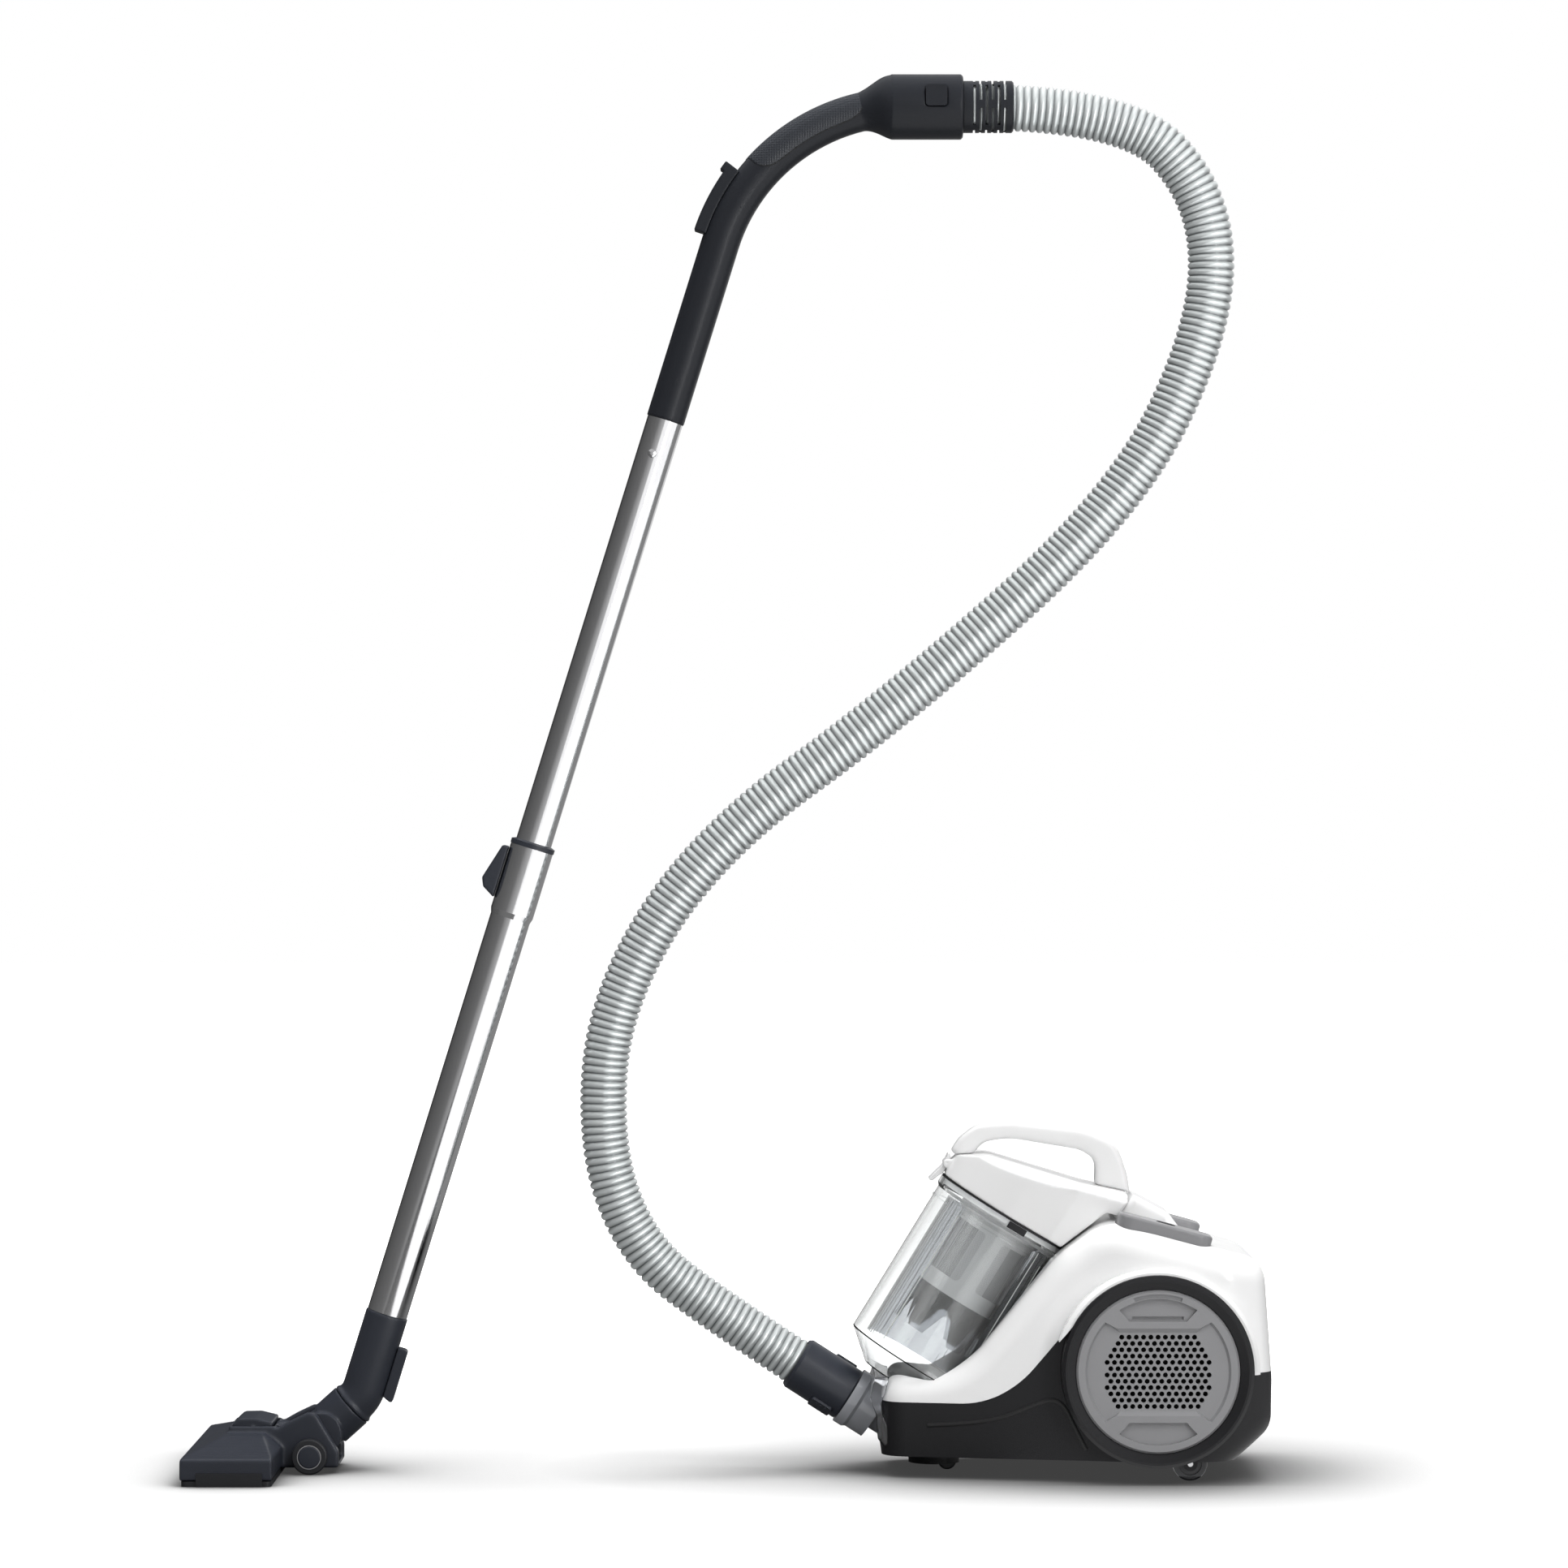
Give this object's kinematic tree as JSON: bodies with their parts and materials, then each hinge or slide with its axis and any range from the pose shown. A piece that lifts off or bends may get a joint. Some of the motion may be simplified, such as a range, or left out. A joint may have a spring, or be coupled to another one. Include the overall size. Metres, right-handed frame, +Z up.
{
  "type": "canister vacuum cleaner",
  "caption": "Canister vacuum cleaner with a clear cyclone bin, ribbed hose, bent handle, telescopic wand and tilting floor nozzle; it rolls on wheels and collects dust in the bin.",
  "frame": {"origin": "middle of the footprint of canister and nozzle, on the floor", "axes": "+X from the floor nozzle towards the back of the canister, +Y across, +Z up"},
  "size_m": [1.0012, 0.266, 1.3054],
  "materials": {
    "white_shell": "gloss",
    "charcoal": "satin",
    "dark_fitting": "satin",
    "light_grey": "satin",
    "chrome_tube": "polished",
    "steel": "satin",
    "soft_rubber": "matte",
    "grille_grey": "satin",
    "filter_fleece": "matte",
    "motor_metal": "satin",
    "wheel_plastic": "satin",
    "smoke_clear": "gloss",
    "clear_cup": "gloss",
    "cyclone_grey": "satin",
    "foam": "matte",
    "grip_texture": "matte",
    "hose_grey": "satin",
    "sole_dark": "matte",
    "bristle": "matte",
    "pedal_grey": "satin"
  },
  "bodies": {
    "canister": {"base_shell": "charcoal", "upper_shell": "white_shell", "base_screws": "steel", "bezel_left": "charcoal", "bezel_right": "charcoal", "exhaust_filter": "filter_fleece", "motor_housing": "motor_metal", "motor_mounts": "soft_rubber", "inner_frame": "charcoal", "cord_outlet": "soft_rubber", "power_switch": "charcoal", "rewind_latch": "charcoal", "inlet_spout": "smoke_clear", "inlet_duct": "charcoal", "rear_axles": "steel"},
    "grille_left": {"exhaust_grille_left": "grille_grey"},
    "grille_right": {"exhaust_grille_right": "grille_grey"},
    "power_pedal": {"power_pedal": "pedal_grey"},
    "rewind_pedal": {"rewind_pedal": "pedal_grey"},
    "caster": {"caster_fork": "charcoal", "caster_axle": "steel"},
    "caster_wheel": {"caster_wheel": "wheel_plastic"},
    "rear_wheel_left": {"rear_wheel_left": "wheel_plastic"},
    "rear_wheel_right": {"rear_wheel_right": "wheel_plastic"},
    "motor_rotor": {"motor_armature": "steel", "motor_fan": "motor_metal"},
    "cord_reel": {"cord_reel": "charcoal"},
    "dust_bin": {"bin_cup": "clear_cup"},
    "bin_lid": {"bin_lid": "white_shell", "carry_handle": "light_grey", "lid_seal": "soft_rubber", "foam_filter": "foam", "cyclone_core": "cyclone_grey", "cyclone_screen": "steel", "cyclone_skirt": "smoke_clear"},
    "lid_latch": {"lid_latch": "light_grey"},
    "hose": {"hose_cuff": "dark_fitting", "hose": "hose_grey", "hose_sleeve": "dark_fitting"},
    "cuff_latch_near": {"cuff_latch_near": "dark_fitting"},
    "cuff_latch_far": {"cuff_latch_far": "dark_fitting"},
    "handle": {"handle_tube": "dark_fitting", "handle_grip": "grip_texture", "upper_tube": "chrome_tube"},
    "release_button_left": {"release_button_left": "dark_fitting"},
    "release_button_right": {"release_button_right": "dark_fitting"},
    "air_regulator": {"air_regulator": "dark_fitting"},
    "lower_wand": {"lower_tube": "chrome_tube", "collar_ring": "dark_fitting", "nozzle_neck": "dark_fitting", "parking_clip": "dark_fitting"},
    "lock_button": {"lock_button": "dark_fitting"},
    "nozzle_elbow": {"nozzle_elbow": "dark_fitting"},
    "nozzle": {"nozzle_head": "dark_fitting", "nozzle_sole": "sole_dark", "nozzle_axles": "steel"},
    "nozzle_wheel_left": {"nozzle_wheel_left": "wheel_plastic"},
    "nozzle_wheel_right": {"nozzle_wheel_right": "wheel_plastic"},
    "foot_pedal": {"foot_pedal": "dark_fitting"},
    "brushes": {"brush_strips": "bristle"}
  },
  "joints": [
    {"name": "grille_left_twist", "type": "hinge", "parent": "canister", "child": "grille_left", "pos_m": [0.3935, 0, 0.1036], "axis": [0, 1, 0], "range_deg": [0, 30]},
    {"name": "grille_right_twist", "type": "hinge", "parent": "canister", "child": "grille_right", "pos_m": [0.3935, 0, 0.1036], "axis": [0, 1, 0], "range_deg": [0, 30]},
    {"name": "power_press", "type": "slide", "parent": "canister", "child": "power_pedal", "axis": [-0.2568, 0, -0.9665], "range_m": [0, 0.004], "stiffness_N_per_m": 900, "springref_m": -0.003},
    {"name": "rewind_press", "type": "slide", "parent": "canister", "child": "rewind_pedal", "axis": [-0.2568, 0, -0.9665], "range_m": [0, 0.004], "stiffness_N_per_m": 900, "springref_m": -0.003},
    {"name": "caster_swivel", "type": "hinge", "parent": "canister", "child": "caster", "pos_m": [0.192, 0, 0.02], "axis": [0, 0, 1], "continuous": true},
    {"name": "caster_roll", "type": "hinge", "parent": "caster", "child": "caster_wheel", "pos_m": [0.204, 0, 0.0085], "axis": [0, 1, 0], "continuous": true},
    {"name": "rear_left_roll", "type": "hinge", "parent": "canister", "child": "rear_wheel_left", "pos_m": [0.425, -0.083, 0.016], "axis": [0, 1, 0], "continuous": true},
    {"name": "rear_right_roll", "type": "hinge", "parent": "canister", "child": "rear_wheel_right", "pos_m": [0.425, 0.083, 0.016], "axis": [0, 1, 0], "continuous": true},
    {"name": "motor_spin", "type": "hinge", "parent": "canister", "child": "motor_rotor", "pos_m": [0.3935, 0, 0.1036], "axis": [0, 1, 0], "continuous": true},
    {"name": "reel_spin", "type": "hinge", "parent": "canister", "child": "cord_reel", "pos_m": [0.3935, 0, 0.1036], "axis": [0, 1, 0], "continuous": true},
    {"name": "bin_lift", "type": "slide", "parent": "canister", "child": "dust_bin", "axis": [0.5225, 0, 0.8526], "range_m": [0, 0.23]},
    {"name": "lid_lift", "type": "slide", "parent": "dust_bin", "child": "bin_lid", "axis": [0.5225, 0, 0.8526], "range_m": [0, 0.18]},
    {"name": "latch_swing", "type": "hinge", "parent": "bin_lid", "child": "lid_latch", "pos_m": [0.2035, 0, 0.287], "axis": [0, 1, 0], "range_deg": [0, 7], "stiffness_Nm_per_rad": 0.06, "springref_deg": -11.46},
    {"name": "hose_swivel", "type": "hinge", "parent": "canister", "child": "hose", "pos_m": [0.112, 0, 0.069], "axis": [0.8434, 0, -0.5373], "continuous": true},
    {"name": "cuff_latch_near_press", "type": "slide", "parent": "hose", "child": "cuff_latch_near", "axis": [0.4653, 0.5, 0.7304], "range_m": [0, 0.0018], "stiffness_N_per_m": 500, "springref_m": -0.002},
    {"name": "cuff_latch_far_press", "type": "slide", "parent": "hose", "child": "cuff_latch_far", "axis": [-0.4653, -0.5, -0.7304], "range_m": [0, 0.0018], "stiffness_N_per_m": 500, "springref_m": -0.002},
    {"name": "handle_swivel", "type": "hinge", "parent": "hose", "child": "handle", "pos_m": [0.219, 0, 1.27488], "axis": [1, 0, 0], "continuous": true},
    {"name": "release_left_press", "type": "slide", "parent": "handle", "child": "release_button_left", "axis": [0, 1, 0], "range_m": [0, 0.0018], "stiffness_N_per_m": 500, "springref_m": -0.002},
    {"name": "release_right_press", "type": "slide", "parent": "handle", "child": "release_button_right", "axis": [0, -1, 0], "range_m": [0, 0.0018], "stiffness_N_per_m": 500, "springref_m": -0.002},
    {"name": "regulator_slide", "type": "hinge", "parent": "handle", "child": "air_regulator", "pos_m": [0.1656, 0, 1.09288], "axis": [0, -1, 0], "range_deg": [0, 3]},
    {"name": "wand_telescope", "type": "slide", "parent": "handle", "child": "lower_wand", "axis": [0.2972, 0, 0.9548], "range_m": [0, 0.33]},
    {"name": "lock_press", "type": "slide", "parent": "lower_wand", "child": "lock_button", "axis": [-0.2972, 0, -0.9548], "range_m": [0, 0.005], "stiffness_N_per_m": 400, "springref_m": -0.004},
    {"name": "nozzle_swivel", "type": "hinge", "parent": "lower_wand", "child": "nozzle_elbow", "pos_m": [-0.3533, 0, 0.05989], "axis": [0.7431, 0, 0.6691], "range_deg": [-90, 90]},
    {"name": "nozzle_tilt", "type": "hinge", "parent": "nozzle_elbow", "child": "nozzle", "pos_m": [-0.38079, 0, 0.03513], "axis": [0, 1, 0], "range_deg": [-20, 35]},
    {"name": "nozzle_left_roll", "type": "hinge", "parent": "nozzle", "child": "nozzle_wheel_left", "pos_m": [-0.38899, -0.043, 0.0165], "axis": [0, 1, 0], "continuous": true},
    {"name": "nozzle_right_roll", "type": "hinge", "parent": "nozzle", "child": "nozzle_wheel_right", "pos_m": [-0.38899, 0.043, 0.0165], "axis": [0, 1, 0], "continuous": true},
    {"name": "pedal_rock", "type": "hinge", "parent": "nozzle", "child": "foot_pedal", "pos_m": [-0.443, 0, 0.0415], "axis": [0, 1, 0], "range_deg": [0, 6]},
    {"name": "brush_drop", "type": "slide", "parent": "nozzle", "child": "brushes", "axis": [0, 0, -1], "range_m": [0, 0.004]}
  ],
  "couplings": [
    {"joint": "brush_drop", "follows": "pedal_rock", "m_per_rad": 0.036287}
  ]
}
